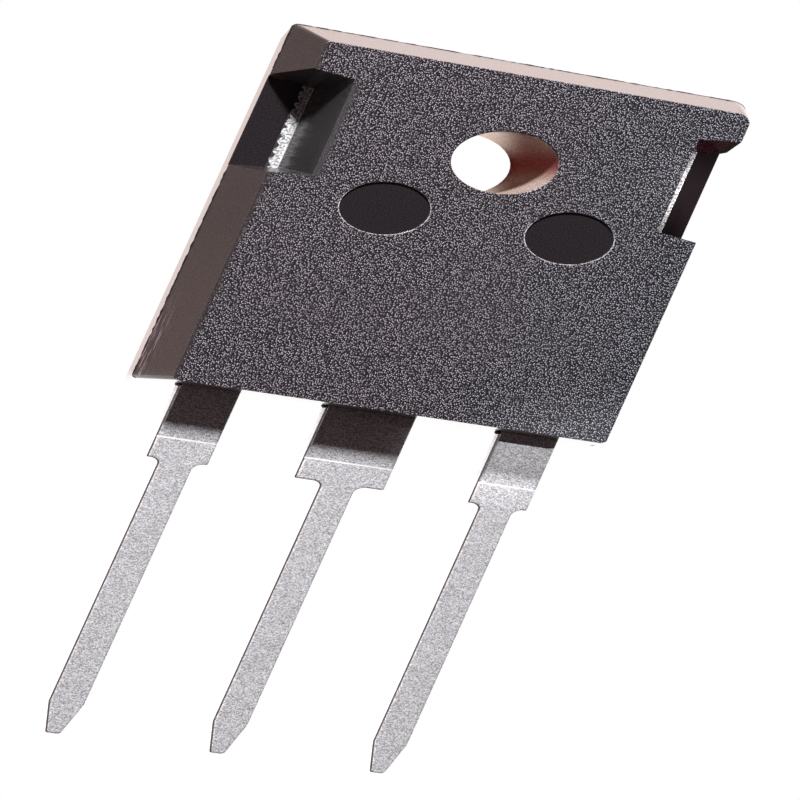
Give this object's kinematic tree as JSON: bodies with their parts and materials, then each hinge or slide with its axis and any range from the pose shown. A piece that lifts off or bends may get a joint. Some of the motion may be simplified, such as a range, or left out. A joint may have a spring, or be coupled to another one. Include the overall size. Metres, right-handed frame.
{
  "type": "power transistor",
  "caption": "Through-hole power transistor: moulded package with a metal back, a screw hole, side clip notches and flat leads in a row, for bolting to a heat sink.",
  "frame": {"origin": "axis of the mounting hole, on the back plane that meets the heat sink", "axes": "+Z out of the moulded front face, +Y towards the hole end with the leads towards -Y, +X to the right seen from the front"},
  "size_m": [0.0158, 0.0411, 0.005],
  "materials": {
    "moulding": "spark-eroded grain",
    "tinned_copper": "matt tin plate",
    "solder": "dull",
    "silicon": "polished",
    "bond_wire": "bright"
  },
  "bodies": {
    "root": {"package_body": "moulding", "heat_spreader": "tinned_copper", "gate_lead": "tinned_copper", "source_lead": "tinned_copper", "die_solder": "solder", "transistor_die": "silicon", "gate_bond_wire": "bond_wire", "source_bond_wires": "bond_wire"}
  },
  "joints": []
}
